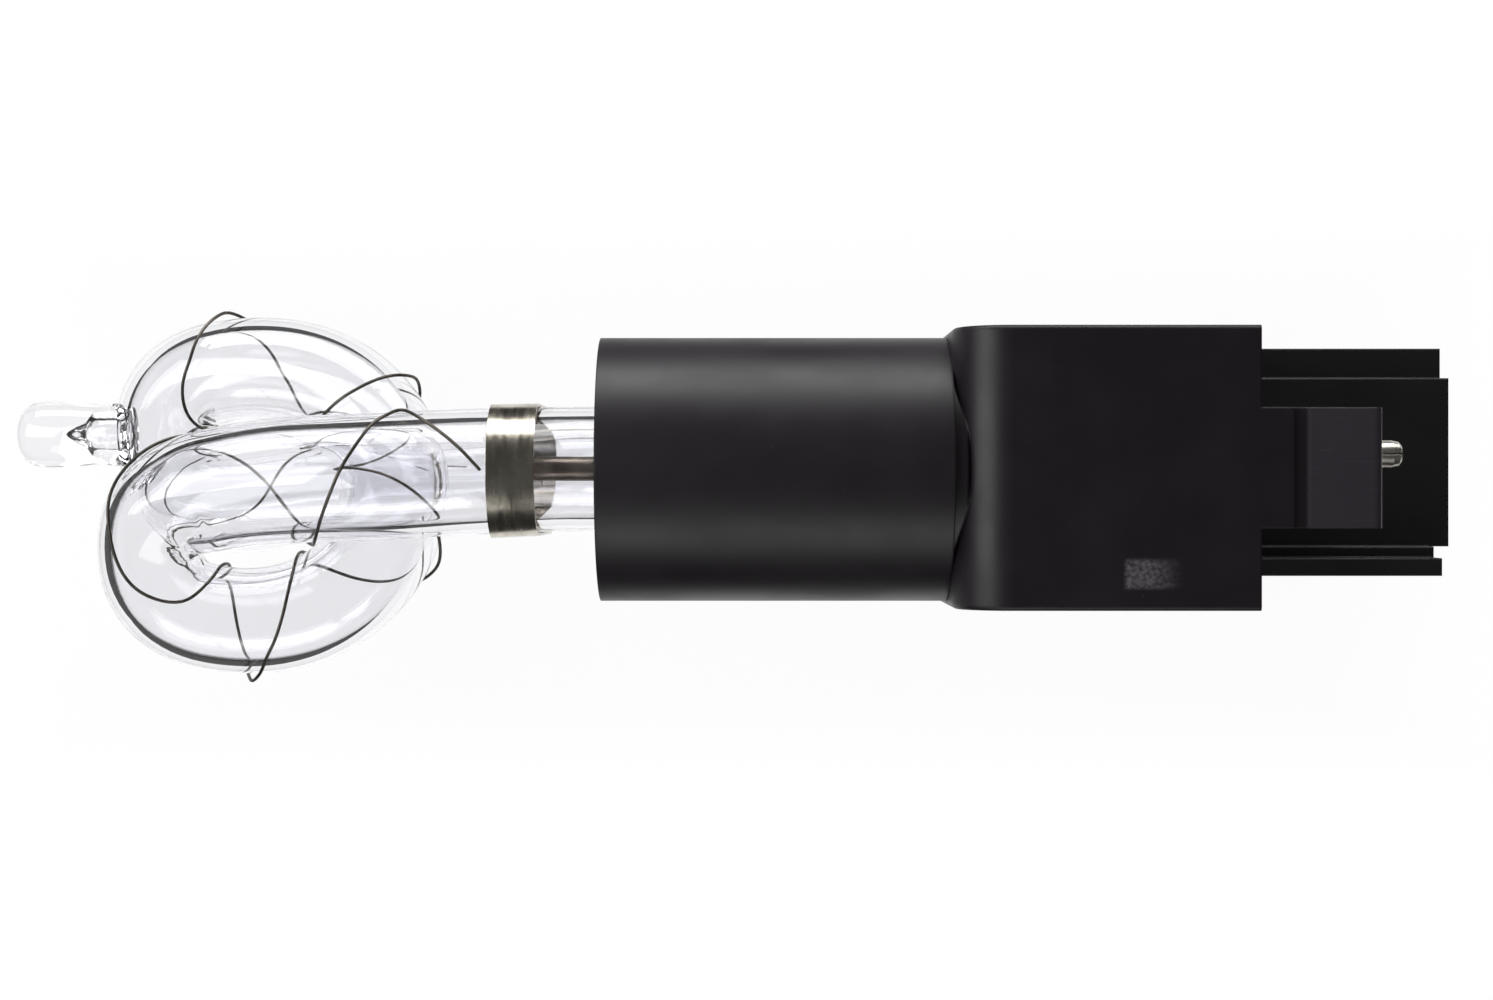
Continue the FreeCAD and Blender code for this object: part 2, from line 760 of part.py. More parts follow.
def make_trigger_wire():
    """Fine wire wound along the tube, which carries the trigger pulse."""
    curve, radius_at = glass_route()
    line = Part.BSplineCurve()
    line.interpolate(Points=wire_route(curve, radius_at))
    path = Part.Wire([line.toShape()])
    piece = doc.addObject("Part::Feature", "trigger_wire")
    piece.Label = "trigger_wire"
    piece.Shape = swept(path, sheet_number("wire_diameter") / 2)


def make_trigger_lead():
    """Straight nickel lead from the transformer to the inside of the band."""
    radius = sheet_number("trigger_lead_diameter") / 2
    far = -(sheet_number("barrel_length") + sheet_number("band_setback")
            + sheet_number("band_width") * 0.7)
    centre, _ = leg_at(far, 1)
    y = centre.y + LEG_RADIUS.number - radius
    flange = sheet_number("bobbin_flange_thickness")
    bobbin_y = sheet_number("core_length") / 2 - flange - radius * 3
    coil_x = TRANSFORMER_X.number - sheet_number("secondary_diameter") / 2
    points = [Vector(far, y, 0), Vector(far + sheet_number("trigger_lead_run"), y, 0),
              Vector(-sheet_number("trigger_lead_bend"), bobbin_y, 0),
              Vector(coil_x - radius, bobbin_y, 0)]
    piece = doc.addObject("Part::Feature", "trigger_lead")
    piece.Label = "trigger_lead"
    piece.Shape = swept(rounded_path(points), radius)


def make_cement():
    """Cement that closes the barrel's mouth round the legs and the trigger lead."""
    body = new_body("cement_plug")
    start = size("cement_recess") - size("barrel_length")
    disc = new_sketch(body, "YZ_Plane", "cement_section", start)
    draw_circle(disc, ZERO, ZERO, BARREL_BORE - size("cement_clearance"))
    extrude(body, disc, size("cement_depth"))
    hole = LEG_RADIUS + size("cement_leg_clearance")
    for name, side in (("front_leg", 1), ("rear_leg", -1)):
        leg = new_sketch(body, "YZ_Plane", name + "_hole", start)
        draw_circle(leg, ZERO, LEG_OFFSET * side, hole)
        extrude(body, leg, size("cement_depth"), "Pocket", reverse=True)
    slot = new_sketch(body, "YZ_Plane", "lead_slot", start)
    draw_rectangle(slot, -LEG_RADIUS / 4, LEG_RADIUS + size("trigger_lead_diameter"),
                   -size("trigger_lead_diameter"), size("trigger_lead_diameter"))
    extrude(body, slot, size("cement_depth"), "Pocket", reverse=True)


# Trigger transformer, its axis across the block

def spool(label, profile):
    """A piece of the transformer, turned about its axis from (radius, along) corners."""
    body = new_body(label)
    sketch = new_sketch(body, "XY_Plane", label + "_profile")
    draw_outline(sketch, profile)
    turn(body, sketch, "Y_Axis")
    place(body, x=TRANSFORMER_X)
    return body


def make_transformer():
    half = size("core_length") / 2
    core = size("core_diameter") / 2
    tube_in = core + size("winding_clearance")
    tube_out = tube_in + size("bobbin_wall")
    flange = size("bobbin_flange_diameter") / 2
    web = size("bobbin_flange_thickness")
    inner = half - web
    wound = size("secondary_diameter") / 2
    over = size("primary_diameter") / 2
    gap = size("winding_clearance")
    spool("transformer_core", [(ZERO, -half), (core, -half), (core, half), (ZERO, half)])
    spool("transformer_bobbin", [
        (tube_in, -half), (flange, -half), (flange, -inner), (tube_out, -inner),
        (tube_out, inner), (flange, inner), (flange, half), (tube_in, half)])
    spool("secondary_winding", [
        (tube_out + gap, gap - inner), (wound, gap - inner), (wound, inner - gap),
        (tube_out + gap, inner - gap)])
    reach = size("primary_length") / 2
    spool("primary_winding", [
        (wound + gap, -reach), (over, -reach), (over, reach), (wound + gap, reach)])


def finish():
    doc.recompute()
    os.makedirs("parts", exist_ok=True)
    kept = []
    for item in doc.Objects:
        if item.TypeId == "PartDesign::Body" or item.TypeId == "Part::Feature":
            kept.append(item)
    for item in doc.Objects:
        if "Invalid" in item.State or "Error" in item.State:
            raise RuntimeError("%s failed: %s" % (item.Label, item.State))
    for item in kept:
        if item.Shape.isNull() or not item.Shape.isValid():
            raise RuntimeError("%s has no valid shape" % item.Label)
    for item in kept:
        item.Shape.exportStep("parts/%s.step" % item.Label)
        box = item.Shape.BoundBox
        print("%-18s solids %d volume %9.1f x %6.1f %6.1f y %6.1f %6.1f z %6.1f %6.1f" % (
            item.Label, len(item.Shape.Solids), item.Shape.Volume,
            box.XMin, box.XMax, box.YMin, box.YMax, box.ZMin, box.ZMax))


make_barrel()
make_housing()
make_connector()
for pin_label, pin_row in (("pin_anode", 1), ("pin_trigger", 0), ("pin_cathode", -1)):
    make_pin(pin_label, pin_row)
make_glass()
make_electrode("anode", 1)
make_electrode("cathode", -1)
make_ferrule("anode_ferrule", 1)
make_ferrule("cathode_ferrule", -1)
make_lead("anode_lead", 1)
make_lead("cathode_lead", -1)
make_band()
make_trigger_wire()
make_trigger_lead()
make_cement()
make_transformer()
finish()
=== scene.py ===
import logging
import math
from dataclasses import dataclass, field
from enum import Enum

import bmesh
import bpy
import numpy as np
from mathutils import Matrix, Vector


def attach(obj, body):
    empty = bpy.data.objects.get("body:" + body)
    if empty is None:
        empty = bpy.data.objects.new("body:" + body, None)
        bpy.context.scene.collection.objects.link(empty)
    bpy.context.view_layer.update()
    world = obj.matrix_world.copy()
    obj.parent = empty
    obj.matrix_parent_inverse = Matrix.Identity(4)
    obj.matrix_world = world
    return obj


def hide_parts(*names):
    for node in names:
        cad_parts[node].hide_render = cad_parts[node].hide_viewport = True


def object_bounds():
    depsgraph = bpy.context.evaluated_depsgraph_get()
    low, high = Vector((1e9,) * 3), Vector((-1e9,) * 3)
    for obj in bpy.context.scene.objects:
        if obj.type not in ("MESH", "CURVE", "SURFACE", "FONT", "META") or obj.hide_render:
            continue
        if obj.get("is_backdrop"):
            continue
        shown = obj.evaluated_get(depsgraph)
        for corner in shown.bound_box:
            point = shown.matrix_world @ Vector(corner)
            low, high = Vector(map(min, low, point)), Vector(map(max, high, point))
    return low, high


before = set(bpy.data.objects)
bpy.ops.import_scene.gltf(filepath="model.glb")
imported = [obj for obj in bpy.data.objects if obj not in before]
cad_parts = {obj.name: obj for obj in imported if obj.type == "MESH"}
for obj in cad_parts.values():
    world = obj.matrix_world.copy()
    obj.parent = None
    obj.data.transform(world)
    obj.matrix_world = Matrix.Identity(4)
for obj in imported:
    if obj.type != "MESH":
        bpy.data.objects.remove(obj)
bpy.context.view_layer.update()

log = logging.getLogger("flash_lamp")
MM = 0.001
Colour = tuple[float, float, float, float]
Faces = list[tuple[int, ...]]

# Settings that several nodes share
SMOOTH = {"interpolation_type": "SMOOTHSTEP"}
COLOURS = {"data_type": "RGBA"}
MULTIPLY = {"operation": "MULTIPLY"}
MAXIMUM = {"operation": "MAXIMUM"}
EDGE_ROUNDING = {"samples": 4}

GRAIN_HEIGHT = 0.02 * MM
FRONT = (0.0, 0.0, 1.0)


# Colour and node helpers

def linear(hex_colour: str) -> Colour:
    """Turn an sRGB hex colour into the linear values that shaders take.

    Args:
        hex_colour: six hex digits, such as "c8c2b4".

    Returns:
        Red, green and blue, linear, and an alpha of 1.
    """
    parts = [int(hex_colour[i:i + 2], 16) / 255 for i in (0, 2, 4)]
    red, green, blue = [c / 12.92 if c <= 0.04045 else ((c + 0.055) / 1.055) ** 2.4
                        for c in parts]
    return red, green, blue, 1.0


def add_node(tree: bpy.types.NodeTree, kind: str, settings: dict[str, object] | None = None,
             inputs: dict[str | int, object] | None = None) -> bpy.types.Node:
    """Add one shader node with its settings, values and links.

    Args:
        tree: the tree that gets the node.
        kind: the node's Blender type name.
        settings: attribute names and values.
        inputs: socket names or numbers, each with a value or another node's output socket.

    Returns:
        The new node.
    """
    node = tree.nodes.new(kind)
    for name, value in (settings or {}).items():
        setattr(node, name, value)
    for name, value in (inputs or {}).items():
        if isinstance(value, bpy.types.NodeSocket):
            tree.links.new(value, node.inputs[name])
        else:
            node.inputs[name].default_value = value
    return node


def fresh_material(name: str) -> tuple[bpy.types.Material, bpy.types.NodeTree, bpy.types.Node]:
    """Make an empty node material with only its output.

    Args:
        name: the material's name.

    Returns:
        The material, its tree and its output node.
    """
    material = bpy.data.materials.new(name)
    material.use_nodes = True
    tree = material.node_tree
    tree.nodes.clear()
    output = tree.nodes.new("ShaderNodeOutputMaterial")
    return material, tree, output


@dataclass(frozen=True)
class Span:
    """How a value from low to high turns smoothly into a result from to_low to to_high."""

    low: float
    high: float
    to_low: float = 0.0
    to_high: float = 1.0

    def of(self, value: bpy.types.NodeSocket) -> dict[str, object]:
        """Inputs of a Map Range node that maps a value by this span.

        Args:
            value: the socket to map.

        Returns:
            The inputs by socket name.
        """
        return {"Value": value, "From Min": self.low, "From Max": self.high,
                "To Min": self.to_low, "To Max": self.to_high}


def spots(tree: bpy.types.NodeTree, size_mm: float,
          stretch: tuple[float, float, float] = (1, 1, 1),
          detail: float = 3.0) -> bpy.types.NodeSocket:
    """Add a pattern of soft spots of about a real size.

    Args:
        tree: the tree that gets the pattern's nodes.
        size_mm: size of one spot in millimetres.
        stretch: how much shorter the spots are along X, Y and Z.
        detail: octaves of finer spots.

    Returns:
        The pattern's value, about 0.5 with spots above and below.
    """
    place = add_node(tree, "ShaderNodeTexCoord")
    scaled = add_node(tree, "ShaderNodeMapping",
                      inputs={"Vector": place.outputs["Object"], "Scale": stretch})
    pattern = add_node(tree, "ShaderNodeTexNoise",
                       inputs={"Vector": scaled.outputs["Vector"], "Scale": 1.0 / (size_mm * MM),
                               "Detail": detail, "Roughness": 0.55})
    return pattern.outputs[0]


# Finishes

@dataclass(frozen=True)
class ClearGlass:
    """Borosilicate tube, drawn and then bent in a flame.

    The flame leaves it polished, so the eye sees sharp reflections with no haze, which waver a
    little over the slight waves that the bending leaves in its wall.
    """

    name: str = "borosilicate_flame_bent"
    tint: str = "fafafc"
    refraction: float = 1.474
    wave_mm: float = 3.0
    wave_height_mm: float = 0.2
    relief: float = 0.05

    def build(self) -> bpy.types.Material:
        """Make the material.

        Returns:
            The finish for the glass.
        """
        material, tree, output = fresh_material(self.name)
        bump = add_node(tree, "ShaderNodeBump", inputs={
            "Strength": self.relief, "Distance": self.wave_height_mm * MM,
            "Height": spots(tree, self.wave_mm, detail=1.0)})
        shader = add_node(tree, "ShaderNodeBsdfPrincipled", inputs={
            "Base Color": linear(self.tint), "Roughness": 0.0, "IOR": self.refraction,
            "Transmission Weight": 1.0, "Normal": bump.outputs["Normal"]})
        tree.links.new(shader.outputs[0], output.inputs["Surface"])
        return material


@dataclass(frozen=True)
class Scuff:
    """A scuffed patch on a face: a rectangle that fades away to its right. Millimetres."""

    left: float
    right: float
    low: float
    high: float
    fade: float
    soft: float = 0.45
    crumb_mm: float = 0.3

    def edges(self) -> tuple[tuple[int, Span], ...]:
        """The patch's edges, each with its axis, 0 for X and 1 for Y, and the span across it."""
        return ((0, Span((self.left - self.soft) * MM, self.left * MM)),
                (0, Span(self.fade * MM, self.right * MM, 1.0, 0.0)),
                (1, Span((self.low - self.soft) * MM, self.low * MM)),
                (1, Span(self.high * MM, (self.high + self.soft) * MM, 1.0, 0.0)))


@dataclass(frozen=True)
class BlackPlastic:
    """Black thermoplastic, moulded or extruded, with a fine even grain.

    The eye sees a satin black with wide soft highlights, slightly lighter where it is worn, and
    a few grey dust specks. Real grain is about 0.05 mm, too fine to show, so it is drawn at 0.12
    to 0.2 mm. Dust is drawn at 0.35 mm, the size of the larger specks.
    """

    name: str
    colour: str = "171117"
    worn: str = "242024"
    dust: str = "77747a"
    scuffed: str = "8f8c93"
    # Colour of the painted highlight on the latch tongue's end
    painted_sheen: str = "403b43"
    refraction: float = 1.5
    roughness: float = 0.42
    cloud_mm: float = 6.0
    grain_mm: float = 0.12
    grain_depth: float = 0.25
    edge_mm: float = 0.25
    speck_mm: float = 0.35
    speck_group_mm: float = 4.0
    speck_level: float = 0.86
    scuff: Scuff | None = None
    # From this X on, a painted highlight lightens the latch tongue's sloping end, with a soft
    # start and hair-like streaks
    painted_sheen_from: float | None = None
    painted_sheen_edge: float = 0.15
    hair_mm: float = 1.2

    def build(self) -> bpy.types.Material:
        """Make the material: mottled black, grain in the bump and softly rounded edges.

        Returns:
            The finish for one piece of the base.
        """
        material, tree, output = fresh_material(self.name)
        clouds = spots(tree, self.cloud_mm)
        plain = linear(self.colour)
        share = add_node(tree, "ShaderNodeMapRange", SMOOTH, Span(0.35, 0.7, 0.0, 0.35).of(clouds))
        mottle = add_node(tree, "ShaderNodeMix", COLOURS,
                          {0: share.outputs["Result"], 6: plain, 7: linear(self.worn)})
        share = add_node(tree, "ShaderNodeMapRange", SMOOTH, Span(0.3, 0.75, 0.0, 0.12).of(clouds))
        mixed = add_node(tree, "ShaderNodeMix", COLOURS,
                         {0: share.outputs["Result"], 6: plain, 7: mottle.outputs[2]})
        base = self.dusted(tree, mixed.outputs[2])
        if self.scuff:
            base = self.scuffed_patch(tree, base)
        # A painted highlight on the latch tongue's end
        if self.painted_sheen_from is not None:
            base = self.painted_sheen_end(tree, base)
        rough = add_node(tree, "ShaderNodeMapRange", SMOOTH,
                         Span(0.3, 0.7, self.roughness - 0.03, self.roughness + 0.05).of(clouds))
        edge = add_node(tree, "ShaderNodeBevel", EDGE_ROUNDING, {"Radius": self.edge_mm * MM})
        bump = add_node(tree, "ShaderNodeBump", inputs={
            "Strength": self.grain_depth, "Distance": GRAIN_HEIGHT,
            "Height": spots(tree, self.grain_mm, detail=2.0), "Normal": edge.outputs["Normal"]})
        shader = add_node(tree, "ShaderNodeBsdfPrincipled", inputs={
            "Base Color": base, "Roughness": rough.outputs["Result"], "IOR": self.refraction,
            "Normal": bump.outputs["Normal"]})
        tree.links.new(shader.outputs[0], output.inputs["Surface"])
        return material

    def dusted(self, tree: bpy.types.NodeTree, base: bpy.types.NodeSocket
               ) -> bpy.types.NodeSocket:
        """Scatter dust specks where fine and coarse spots are both high.

        Args:
            tree: the tree that gets the nodes.
            base: the colour so far.

        Returns:
            The colour with the dust.
        """
        both = add_node(tree, "ShaderNodeMath", MULTIPLY,
                        {0: spots(tree, self.speck_mm, detail=1.0),
                         1: spots(tree, self.speck_group_mm, detail=2.0)})
        span = Span(self.speck_level * 0.6, self.speck_level * 0.66, 0.0, 0.55)
        share = add_node(tree, "ShaderNodeMapRange", SMOOTH, span.of(both.outputs[0]))
        mixed = add_node(tree, "ShaderNodeMix", COLOURS,
                         {0: share.outputs["Result"], 6: base, 7: linear(self.dust)})
        return mixed.outputs[2]

    def scuffed_patch(self, tree: bpy.types.NodeTree, base: bpy.types.NodeSocket
                      ) -> bpy.types.NodeSocket:
        """Lighten the scuffed patch, broken up by fine spots.

        Args:
            tree: the tree that gets the nodes.
            base: the colour so far.

        Returns:
            The colour with the patch.
        """
        place = add_node(tree, "ShaderNodeTexCoord")
        parts = add_node(tree, "ShaderNodeSeparateXYZ", inputs={0: place.outputs["Object"]})
        crumbs = spots(tree, self.scuff.crumb_mm)
        share = add_node(tree, "ShaderNodeMapRange", SMOOTH,
                         Span(0.3, 0.7, 0.12, 0.5).of(crumbs)).outputs["Result"]
        for axis, span in self.scuff.edges():
            edge = add_node(tree, "ShaderNodeMapRange", SMOOTH, span.of(parts.outputs[axis]))
            share = add_node(tree, "ShaderNodeMath", MULTIPLY,
                             {0: share, 1: edge.outputs["Result"]}).outputs[0]
        mixed = add_node(tree, "ShaderNodeMix", COLOURS,
                         {0: share, 6: base, 7: linear(self.scuffed)})
        return mixed.outputs[2]

    def painted_sheen_end(self, tree: bpy.types.NodeTree, base: bpy.types.NodeSocket
                   ) -> bpy.types.NodeSocket:
        """Paint a highlight, with hair-like streaks, on the latch tongue's sloping end.

        Args:
            tree: the tree that gets the nodes.
            base: the colour so far.

        Returns:
            The colour with the rubbed end.
        """
        place = add_node(tree, "ShaderNodeTexCoord")
        parts = add_node(tree, "ShaderNodeSeparateXYZ", inputs={0: place.outputs["Object"]})
        # The painted highlight stands in for the reflection on the tongue's sloping face
        reach = Span(self.painted_sheen_from * MM, (self.painted_sheen_from + self.painted_sheen_edge) * MM)
        end = add_node(tree, "ShaderNodeMapRange", SMOOTH, reach.of(parts.outputs[0]))
        hairs = spots(tree, self.hair_mm, (0.25, 4.0, 1.0), detail=1.0)
        marks = add_node(tree, "ShaderNodeMapRange", SMOOTH, Span(0.66, 0.7, 0.75).of(hairs))
        share = add_node(tree, "ShaderNodeMath", MULTIPLY,
                         {0: end.outputs["Result"], 1: marks.outputs["Result"]})
        mixed = add_node(tree, "ShaderNodeMix", COLOURS,
                         {0: share.outputs[0], 6: base, 7: linear(self.painted_sheen)})
        return mixed.outputs[2]


@dataclass(frozen=True)
class BareMetal:
    """Bare or plated metal, drawn into wire or rolled into strip.

    The working leaves fine streaks along it, which draw out the highlights, and air dulls it in
    patches. Real streaks are about 0.02 mm apart, too fine to show, so they are drawn at 0.4 mm.
    """

    name: str
    colour: str
    dull: str
    roughness: float = 0.25
    streak_mm: float = 0.4
    patch_streaks: float = 6.0
    stretch: tuple[float, float, float] = (0.15, 1.0, 1.0)
    relief: float = 0.15
    edge_mm: float = 0.0

    def build(self) -> bpy.types.Material:
        """Make the material: two tones of metal and fine streaks along the working direction.

        Returns:
            The finish for the metal.
        """
        material, tree, output = fresh_material(self.name)
        streaks = spots(tree, self.streak_mm, self.stretch)
        patches = spots(tree, self.streak_mm * self.patch_streaks)
        share = add_node(tree, "ShaderNodeMapRange", SMOOTH, Span(0.35, 0.7, 0.0, 0.8).of(patches))
        colour = add_node(tree, "ShaderNodeMix", COLOURS, {
            0: share.outputs["Result"], 6: linear(self.colour), 7: linear(self.dull)})
        span = Span(0.3, 0.7, self.roughness * 0.8, self.roughness * 1.25)
        rough = add_node(tree, "ShaderNodeMapRange", SMOOTH, span.of(streaks))
        relief = {"Strength": self.relief, "Distance": GRAIN_HEIGHT, "Height": streaks}
        if self.edge_mm:
            edge = add_node(tree, "ShaderNodeBevel", EDGE_ROUNDING, {"Radius": self.edge_mm * MM})
            relief["Normal"] = edge.outputs["Normal"]
        bump = add_node(tree, "ShaderNodeBump", inputs=relief)
        shader = add_node(tree, "ShaderNodeBsdfPrincipled", inputs={
            "Base Color": colour.outputs[2], "Metallic": 1.0,
            "Roughness": rough.outputs["Result"], "Normal": bump.outputs["Normal"]})
        tree.links.new(shader.outputs[0], output.inputs["Surface"])
        return material


@dataclass(frozen=True)
class ChalkyFill:
    """A dull filled material: set cement, sintered ferrite, extruded silicone, moulded nylon.

    The eye sees two close tones and a low crumbly surface with hardly a highlight. Its grains are
    under 0.1 mm, too fine to show, so they are drawn at 0.5 mm.
    """

    name: str
    colour: str
    shade: str
    roughness: float = 0.8
    lump_mm: float = 0.5
    lump_height_mm: float = 0.1
    relief: float = 0.4

    def build(self) -> bpy.types.Material:
        """Make the material: two close tones and a crumbly bump.

        Returns:
            The finish for the filled material.
        """
        material, tree, output = fresh_material(self.name)
        lumps = spots(tree, self.lump_mm, detail=5.0)
        share = add_node(tree, "ShaderNodeMapRange", SMOOTH, Span(0.35, 0.65).of(lumps))
        colour = add_node(tree, "ShaderNodeMix", COLOURS, {
            0: share.outputs["Result"], 6: linear(self.colour), 7: linear(self.shade)})
        bump = add_node(tree, "ShaderNodeBump", inputs={
            "Strength": self.relief, "Distance": self.lump_height_mm * MM, "Height": lumps})
        shader = add_node(tree, "ShaderNodeBsdfPrincipled", inputs={
            "Base Color": colour.outputs[2], "Roughness": self.roughness,
            "Normal": bump.outputs["Normal"]})
        tree.links.new(shader.outputs[0], output.inputs["Surface"])
        return material


# Mesh helpers

def make_object(name: str, vertices: np.ndarray, faces: Faces, material: bpy.types.Material,
                hollow_from: int | None = None) -> bpy.types.Object:
    """Make a mesh object that rides with the lamp.

    Args:
        name: the piece's name.
        vertices: points in metres, in the lamp's frame.
        faces: vertex numbers of each face.
        material: its finish.
        hollow_from: number of the first face of a hollow inside, whose faces turn inwards.

    Returns:
        The object.
    """
    mesh = bpy.data.meshes.new(name)
    mesh.from_pydata([tuple(v) for v in vertices], [], faces)
    shell = bmesh.new()
    shell.from_mesh(mesh)
    bmesh.ops.recalc_face_normals(shell, faces=shell.faces)
    if hollow_from is not None:
        shell.faces.ensure_lookup_table()
        for face in shell.faces[hollow_from:]:
            face.normal_flip()
    shell.to_mesh(mesh)
    shell.free()
    mesh.polygons.foreach_set("use_smooth", [True] * len(mesh.polygons))
    mesh.materials.append(material)
    piece = bpy.data.objects.new(name, mesh)
    bpy.context.scene.collection.objects.link(piece)
    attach(piece, "root")
    log.info("%s: %d faces", name, len(faces))
    return piece


def dress(node: str, material: bpy.types.Material) -> None:
    """Give a carried-over CAD node its finish.

    Args:
        node: the node's name.
        material: the finish.
    """
    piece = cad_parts[node]
    piece.data.materials.clear()
    piece.data.materials.append(material)
    log.info("%s: %s", node, material.name)


def smooth_step(share: float) -> float:
    """Ease a share from 0 to 1."""
    share = min(max(share, 0.0), 1.0)
    return share * share * (3 - 2 * share)


class SmoothLine:
    """A smooth curve through given points, with set directions at its ends."""

    def __init__(self, points: np.ndarray, start: np.ndarray, end: np.ndarray) -> None:
        """Work out the slopes that make the curve's bend continuous.

        Args:
            points: the points it passes.
            start: unit direction at the first point.
            end: unit direction at the last point.
        """
        self.points = points
        gaps = np.linalg.norm(np.diff(points, axis=0), axis=1)
        self.knots = np.concatenate([[0.0], np.cumsum(gaps)])
        count = len(points)
        matrix = np.zeros((count, count))
        right = np.zeros((count, 3))
        matrix[0, 0] = 1.0
        right[0] = start
        matrix[-1, -1] = 1.0
        right[-1] = end
        for i in range(1, count - 1):
            before, after = gaps[i - 1], gaps[i]
            matrix[i, i - 1] = after
            matrix[i, i] = 2 * (before + after)
            matrix[i, i + 1] = before
            right[i] = 3 * (after * (points[i] - points[i - 1]) / before
                            + before * (points[i + 1] - points[i]) / after)
        self.slopes = np.linalg.solve(matrix, right)

    def at(self, place: float) -> tuple[np.ndarray, np.ndarray]:
        """Point and unit direction at a distance along the points.

        Args:
            place: distance along the points' chords.

        Returns:
            The point and the direction.
        """
        i = int(np.clip(np.searchsorted(self.knots, place) - 1, 0, len(self.knots) - 2))
        gap = self.knots[i + 1] - self.knots[i]
        t = (place - self.knots[i]) / gap
        a, b = self.points[i], self.points[i + 1]
        u, v = self.slopes[i] * gap, self.slopes[i + 1] * gap
        point = ((2 * t ** 3 - 3 * t ** 2 + 1) * a + (t ** 3 - 2 * t ** 2 + t) * u
                 + (3 * t ** 2 - 2 * t ** 3) * b + (t ** 3 - t ** 2) * v)
        slope = ((6 * t ** 2 - 6 * t) * a + (3 * t ** 2 - 4 * t + 1) * u
                 + (6 * t - 6 * t ** 2) * b + (3 * t ** 2 - 2 * t) * v)
        return point, slope / np.linalg.norm(slope)


def section_axes(along: np.ndarray, upright: tuple[float, float, float]
                 ) -> tuple[np.ndarray, np.ndarray]:
    """Two unit directions square to a line and to each other.

    Args:
        along: the line's unit direction.
        upright: a direction that the line never takes.

    Returns:
        The direction square to both, and the one nearest to upright.
    """
    side = np.cross(along, upright)
    side /= np.linalg.norm(side)
    return side, np.cross(side, along)


def section_ring(centre: np.ndarray, along: np.ndarray, radius: float, count: int,
                 upright: tuple[float, float, float] = FRONT) -> np.ndarray:
    """Points round one circular section of a line.

    Args:
        centre: the section's middle in millimetres.
        along: the line's unit direction there.
        radius: the section's radius in millimetres.
        count: number of points.
        upright: a direction that the line never takes; the first point lies that way.

    Returns:
        The points in metres.
    """
    side, front = section_axes(along, upright)
    angles = np.arange(count) * 2 * math.pi / count
    return (centre + radius * (np.outer(np.cos(angles), front)
                               + np.outer(np.sin(angles), side))) * MM


def tube_mesh(rings: list[np.ndarray], closed_ends: bool = True) -> tuple[np.ndarray, Faces]:
    """Join rings of points into a tube.

    Args:
        rings: rings with equal numbers of points.
        closed_ends: whether the two end rings get a cap.

    Returns:
        The points and faces.
    """
    count = len(rings[0])
    faces: Faces = []
    for i in range(len(rings) - 1):
        for j in range(count):
            k = (j + 1) % count
            faces.append((i * count + j, i * count + k, (i + 1) * count + k, (i + 1) * count + j))
    if closed_ends:
        faces.append(tuple(range(count))[::-1])
        last = (len(rings) - 1) * count
        faces.append(tuple(last + j for j in range(count)))
    return np.concatenate(rings), faces


# The glass coil

class Side(Enum):
    """Which leg of the tube a half belongs to."""

    FRONT = 1
    REAR = -1


